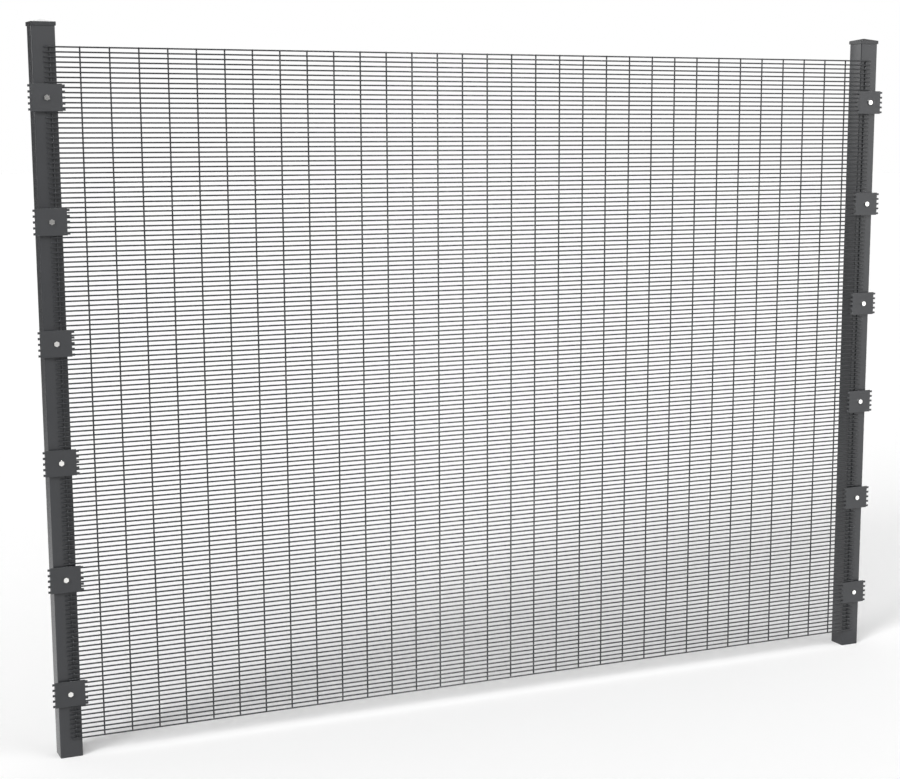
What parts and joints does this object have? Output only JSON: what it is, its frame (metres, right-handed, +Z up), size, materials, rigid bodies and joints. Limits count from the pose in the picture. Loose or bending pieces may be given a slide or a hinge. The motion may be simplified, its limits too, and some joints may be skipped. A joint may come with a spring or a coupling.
{
  "type": "security mesh fence panel",
  "caption": "Close-mesh welded security fence panel between two capped box posts, its edges held by bolted comb clamps.",
  "frame": {"origin": "on the ground, in the middle of the box round the whole panel, half way between the posts", "axes": "+X along the panel to the right post, -Y towards the front with the clamps, +Z up"},
  "size_m": [2.636, 0.0786, 1.9515],
  "materials": {
    "post_coating": "anthracite powder coat, satin, fine orange peel",
    "mesh_coating": "anthracite powder coat over galvanised wire, satin",
    "clamp_coating": "anthracite powder coat, satin",
    "cap_plastic": "anthracite moulded polyethylene, matt",
    "bolt_steel": "bright stainless steel",
    "rivet_nut_zinc": "zinc plated steel"
  },
  "bodies": {
    "panel": {"left_post": "post_coating", "right_post": "post_coating", "mesh_line_wires": "mesh_coating", "mesh_upright_wires": "mesh_coating", "left_rivet_nuts": "rivet_nut_zinc", "right_rivet_nuts": "rivet_nut_zinc"},
    "left_cap": {"left_post_cap": "cap_plastic"},
    "right_cap": {"right_post_cap": "cap_plastic"},
    "left_clamp_1": {"left_clamp_1": "clamp_coating"},
    "left_bolt_1": {"left_bolt_1": "bolt_steel"},
    "left_clamp_2": {"left_clamp_2": "clamp_coating"},
    "left_bolt_2": {"left_bolt_2": "bolt_steel"},
    "left_clamp_3": {"left_clamp_3": "clamp_coating"},
    "left_bolt_3": {"left_bolt_3": "bolt_steel"},
    "left_clamp_4": {"left_clamp_4": "clamp_coating"},
    "left_bolt_4": {"left_bolt_4": "bolt_steel"},
    "left_clamp_5": {"left_clamp_5": "clamp_coating"},
    "left_bolt_5": {"left_bolt_5": "bolt_steel"},
    "left_clamp_6": {"left_clamp_6": "clamp_coating"},
    "left_bolt_6": {"left_bolt_6": "bolt_steel"},
    "right_clamp_1": {"right_clamp_1": "clamp_coating"},
    "right_bolt_1": {"right_bolt_1": "bolt_steel"},
    "right_clamp_2": {"right_clamp_2": "clamp_coating"},
    "right_bolt_2": {"right_bolt_2": "bolt_steel"},
    "right_clamp_3": {"right_clamp_3": "clamp_coating"},
    "right_bolt_3": {"right_bolt_3": "bolt_steel"},
    "right_clamp_4": {"right_clamp_4": "clamp_coating"},
    "right_bolt_4": {"right_bolt_4": "bolt_steel"},
    "right_clamp_5": {"right_clamp_5": "clamp_coating"},
    "right_bolt_5": {"right_bolt_5": "bolt_steel"},
    "right_clamp_6": {"right_clamp_6": "clamp_coating"},
    "right_bolt_6": {"right_bolt_6": "bolt_steel"}
  },
  "joints": [
    {"name": "left_cap_pull", "type": "slide", "parent": "panel", "child": "left_cap", "axis": [0, 0, 1], "range_m": [0, 0.03]},
    {"name": "right_cap_pull", "type": "slide", "parent": "panel", "child": "right_cap", "axis": [0, 0, 1], "range_m": [0, 0.03]},
    {"name": "left_clamp_1_slide", "type": "slide", "parent": "panel", "child": "left_clamp_1", "axis": [0, -1, 0], "range_m": [0, 0.01375]},
    {"name": "left_bolt_1_turn", "type": "hinge", "parent": "left_clamp_1", "child": "left_bolt_1", "pos_m": [-1.271, -0.03095, 0.18], "axis": [0, -1, 0], "range_deg": [0, 3960]},
    {"name": "left_clamp_2_slide", "type": "slide", "parent": "panel", "child": "left_clamp_2", "axis": [0, -1, 0], "range_m": [0, 0.01375]},
    {"name": "left_bolt_2_turn", "type": "hinge", "parent": "left_clamp_2", "child": "left_bolt_2", "pos_m": [-1.271, -0.03095, 0.49496], "axis": [0, -1, 0], "range_deg": [0, 3960]},
    {"name": "left_clamp_3_slide", "type": "slide", "parent": "panel", "child": "left_clamp_3", "axis": [0, -1, 0], "range_m": [0, 0.01375]},
    {"name": "left_bolt_3_turn", "type": "hinge", "parent": "left_clamp_3", "child": "left_bolt_3", "pos_m": [-1.271, -0.03095, 0.80992], "axis": [0, -1, 0], "range_deg": [0, 3960]},
    {"name": "left_clamp_4_slide", "type": "slide", "parent": "panel", "child": "left_clamp_4", "axis": [0, -1, 0], "range_m": [0, 0.01375]},
    {"name": "left_bolt_4_turn", "type": "hinge", "parent": "left_clamp_4", "child": "left_bolt_4", "pos_m": [-1.271, -0.03095, 1.12488], "axis": [0, -1, 0], "range_deg": [0, 3960]},
    {"name": "left_clamp_5_slide", "type": "slide", "parent": "panel", "child": "left_clamp_5", "axis": [0, -1, 0], "range_m": [0, 0.01375]},
    {"name": "left_bolt_5_turn", "type": "hinge", "parent": "left_clamp_5", "child": "left_bolt_5", "pos_m": [-1.271, -0.03095, 1.43984], "axis": [0, -1, 0], "range_deg": [0, 3960]},
    {"name": "left_clamp_6_slide", "type": "slide", "parent": "panel", "child": "left_clamp_6", "axis": [0, -1, 0], "range_m": [0, 0.01375]},
    {"name": "left_bolt_6_turn", "type": "hinge", "parent": "left_clamp_6", "child": "left_bolt_6", "pos_m": [-1.271, -0.03095, 1.7548], "axis": [0, -1, 0], "range_deg": [0, 3960]},
    {"name": "right_clamp_1_slide", "type": "slide", "parent": "panel", "child": "right_clamp_1", "axis": [0, -1, 0], "range_m": [0, 0.01375]},
    {"name": "right_bolt_1_turn", "type": "hinge", "parent": "right_clamp_1", "child": "right_bolt_1", "pos_m": [1.271, -0.03095, 0.18], "axis": [0, -1, 0], "range_deg": [0, 3960]},
    {"name": "right_clamp_2_slide", "type": "slide", "parent": "panel", "child": "right_clamp_2", "axis": [0, -1, 0], "range_m": [0, 0.01375]},
    {"name": "right_bolt_2_turn", "type": "hinge", "parent": "right_clamp_2", "child": "right_bolt_2", "pos_m": [1.271, -0.03095, 0.49496], "axis": [0, -1, 0], "range_deg": [0, 3960]},
    {"name": "right_clamp_3_slide", "type": "slide", "parent": "panel", "child": "right_clamp_3", "axis": [0, -1, 0], "range_m": [0, 0.01375]},
    {"name": "right_bolt_3_turn", "type": "hinge", "parent": "right_clamp_3", "child": "right_bolt_3", "pos_m": [1.271, -0.03095, 0.80992], "axis": [0, -1, 0], "range_deg": [0, 3960]},
    {"name": "right_clamp_4_slide", "type": "slide", "parent": "panel", "child": "right_clamp_4", "axis": [0, -1, 0], "range_m": [0, 0.01375]},
    {"name": "right_bolt_4_turn", "type": "hinge", "parent": "right_clamp_4", "child": "right_bolt_4", "pos_m": [1.271, -0.03095, 1.12488], "axis": [0, -1, 0], "range_deg": [0, 3960]},
    {"name": "right_clamp_5_slide", "type": "slide", "parent": "panel", "child": "right_clamp_5", "axis": [0, -1, 0], "range_m": [0, 0.01375]},
    {"name": "right_bolt_5_turn", "type": "hinge", "parent": "right_clamp_5", "child": "right_bolt_5", "pos_m": [1.271, -0.03095, 1.43984], "axis": [0, -1, 0], "range_deg": [0, 3960]},
    {"name": "right_clamp_6_slide", "type": "slide", "parent": "panel", "child": "right_clamp_6", "axis": [0, -1, 0], "range_m": [0, 0.01375]},
    {"name": "right_bolt_6_turn", "type": "hinge", "parent": "right_clamp_6", "child": "right_bolt_6", "pos_m": [1.271, -0.03095, 1.7548], "axis": [0, -1, 0], "range_deg": [0, 3960]}
  ],
  "couplings": [
    {"joint": "left_bolt_1_turn", "follows": "left_clamp_1_slide", "rad_per_m": 5026.5},
    {"joint": "left_bolt_2_turn", "follows": "left_clamp_2_slide", "rad_per_m": 5026.5},
    {"joint": "left_bolt_3_turn", "follows": "left_clamp_3_slide", "rad_per_m": 5026.5},
    {"joint": "left_bolt_4_turn", "follows": "left_clamp_4_slide", "rad_per_m": 5026.5},
    {"joint": "left_bolt_5_turn", "follows": "left_clamp_5_slide", "rad_per_m": 5026.5},
    {"joint": "left_bolt_6_turn", "follows": "left_clamp_6_slide", "rad_per_m": 5026.5},
    {"joint": "right_bolt_1_turn", "follows": "right_clamp_1_slide", "rad_per_m": 5026.5},
    {"joint": "right_bolt_2_turn", "follows": "right_clamp_2_slide", "rad_per_m": 5026.5},
    {"joint": "right_bolt_3_turn", "follows": "right_clamp_3_slide", "rad_per_m": 5026.5},
    {"joint": "right_bolt_4_turn", "follows": "right_clamp_4_slide", "rad_per_m": 5026.5},
    {"joint": "right_bolt_5_turn", "follows": "right_clamp_5_slide", "rad_per_m": 5026.5},
    {"joint": "right_bolt_6_turn", "follows": "right_clamp_6_slide", "rad_per_m": 5026.5}
  ]
}
